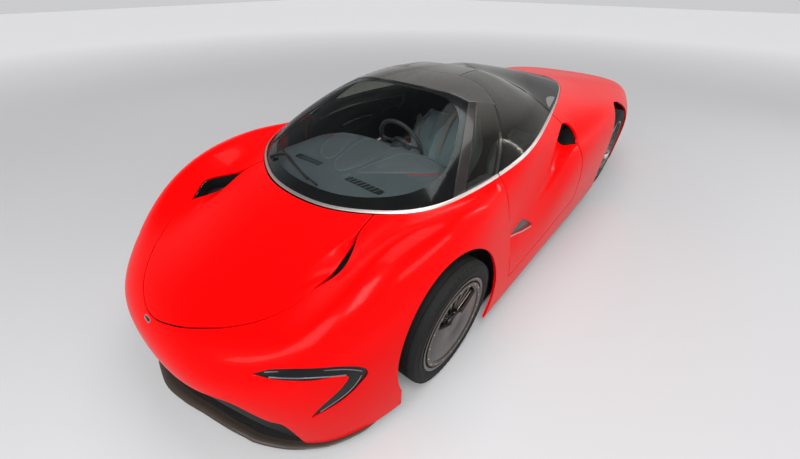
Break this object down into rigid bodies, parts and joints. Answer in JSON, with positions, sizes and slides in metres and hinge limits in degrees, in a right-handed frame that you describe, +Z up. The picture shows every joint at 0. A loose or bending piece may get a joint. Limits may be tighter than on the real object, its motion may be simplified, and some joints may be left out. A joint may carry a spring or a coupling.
{
  "type": "three-seat supercar",
  "caption": "Low supercar with a teardrop canopy, swing-up doors, covered front wheels, central driver seat, hinged bonnet, steering and rolling wheels.",
  "frame": {"origin": "on the ground under the middle of the whole car", "axes": "+Z up, front towards -Y, the car's left towards +X"},
  "size_m": [1.9808, 5.162, 1.2005],
  "materials": {
    "red_paint": "gloss lacquer",
    "tyre_rubber": "matt",
    "front_rim_metal": "satin grey",
    "rim_metal": "satin dark grey",
    "cover_carbon": "satin bronze grey",
    "glass": "clear, dark at the edges",
    "black_gloss": "gloss",
    "canopy_tint": "gloss tinted",
    "bright_trim": "polished",
    "lamp_black": "gloss",
    "lamp_red": "gloss",
    "carbon": "satin carbon weave",
    "seat_leather": "fine grain",
    "dash_leather": "matt grain",
    "wheel_leather": "smooth",
    "forged_alloy": "satin",
    "engine_alloy": "cast",
    "exhaust_steel": "heat tinted",
    "black_plastic": "textured",
    "tub_carbon": "satin"
  },
  "bodies": {
    "body": {"canopy_trim": "bright_trim", "dashboard": "dash_leather", "diffuser": "carbon", "driver_seat": "seat_leather", "engine": "engine_alloy", "exhaust": "exhaust_steel", "floor_pan": "tub_carbon", "front_arms": "forged_alloy", "front_bulkhead": "tub_carbon", "front_liner_left": "black_plastic", "front_liner_right": "black_plastic", "front_splitter": "carbon", "haunch_left": "red_paint", "haunch_right": "red_paint", "headlamp_left": "lamp_black", "headlamp_right": "lamp_black", "luggage_tub": "black_plastic", "nose": "red_paint", "passenger_seat_left": "seat_leather", "passenger_seat_right": "seat_leather", "pillar_left": "black_gloss", "pillar_right": "black_gloss", "rear_arms": "forged_alloy", "rear_bulkhead": "tub_carbon", "rear_canopy": "canopy_tint", "rear_liner_left": "black_plastic", "rear_liner_right": "black_plastic", "rear_upright_left": "forged_alloy", "rear_upright_right": "forged_alloy", "roof_header": "black_gloss", "roof_spine": "black_gloss", "sill_left": "red_paint", "sill_right": "red_paint", "tail": "red_paint", "tail_lamps": "lamp_red", "windscreen": "glass", "wing_left": "red_paint", "wing_right": "red_paint"},
    "bonnet": {"bonnet": "red_paint"},
    "door_left": {"door_left": "red_paint", "door_glass_left": "glass"},
    "door_right": {"door_right": "red_paint", "door_glass_right": "glass"},
    "steering_wheel": {"steering_wheel": "wheel_leather"},
    "knuckle_left": {"knuckle_left": "forged_alloy", "wheel_cover_left": "cover_carbon"},
    "knuckle_right": {"knuckle_right": "forged_alloy", "wheel_cover_right": "cover_carbon"},
    "wheel_front_left": {"rim_front_left": "front_rim_metal", "tyre_front_left": "tyre_rubber"},
    "wheel_front_right": {"rim_front_right": "front_rim_metal", "tyre_front_right": "tyre_rubber"},
    "wheel_rear_left": {"rim_rear_left": "rim_metal", "tyre_rear_left": "tyre_rubber"},
    "wheel_rear_right": {"rim_rear_right": "rim_metal", "tyre_rear_right": "tyre_rubber"}
  },
  "joints": [
    {"name": "steer_left", "type": "hinge", "parent": "body", "child": "knuckle_left", "pos_m": [0.8, -1.533, 0.336], "axis": [0, 0, 1], "range_deg": [-30, 30]},
    {"name": "steer_right", "type": "hinge", "parent": "body", "child": "knuckle_right", "pos_m": [-0.8, -1.533, 0.336], "axis": [0, 0, 1], "range_deg": [-30, 30]},
    {"name": "roll_front_left", "type": "hinge", "parent": "knuckle_left", "child": "wheel_front_left", "pos_m": [0.8375, -1.533, 0.336], "axis": [1, 0, 0], "continuous": true},
    {"name": "roll_front_right", "type": "hinge", "parent": "knuckle_right", "child": "wheel_front_right", "pos_m": [-0.8375, -1.533, 0.336], "axis": [1, 0, 0], "continuous": true},
    {"name": "roll_rear_left", "type": "hinge", "parent": "body", "child": "wheel_rear_left", "pos_m": [0.7875, 1.192, 0.361], "axis": [1, 0, 0], "continuous": true},
    {"name": "roll_rear_right", "type": "hinge", "parent": "body", "child": "wheel_rear_right", "pos_m": [-0.7875, 1.192, 0.361], "axis": [1, 0, 0], "continuous": true},
    {"name": "steering_wheel_turn", "type": "hinge", "parent": "body", "child": "steering_wheel", "pos_m": [0, -0.82031, 0.7832], "axis": [0, 0.9336, 0.3584], "range_deg": [-360, 360]},
    {"name": "door_left_swing", "type": "hinge", "parent": "body", "child": "door_left", "pos_m": [0.92, -0.95, 0.8], "axis": [0.3958, -0.2639, -0.8796], "range_deg": [0, 70]},
    {"name": "door_right_swing", "type": "hinge", "parent": "body", "child": "door_right", "pos_m": [-0.92, -0.95, 0.8], "axis": [0.3958, 0.2639, 0.8796], "range_deg": [0, 70]},
    {"name": "bonnet_lift", "type": "hinge", "parent": "body", "child": "bonnet", "pos_m": [0, -1.55, 0.8], "axis": [-1, 0, 0], "range_deg": [0, 60]}
  ],
  "couplings": [
    {"joint": "steer_right", "follows": "steer_left", "ratio": 1},
    {"joint": "steering_wheel_turn", "follows": "steer_left", "ratio": 12}
  ]
}
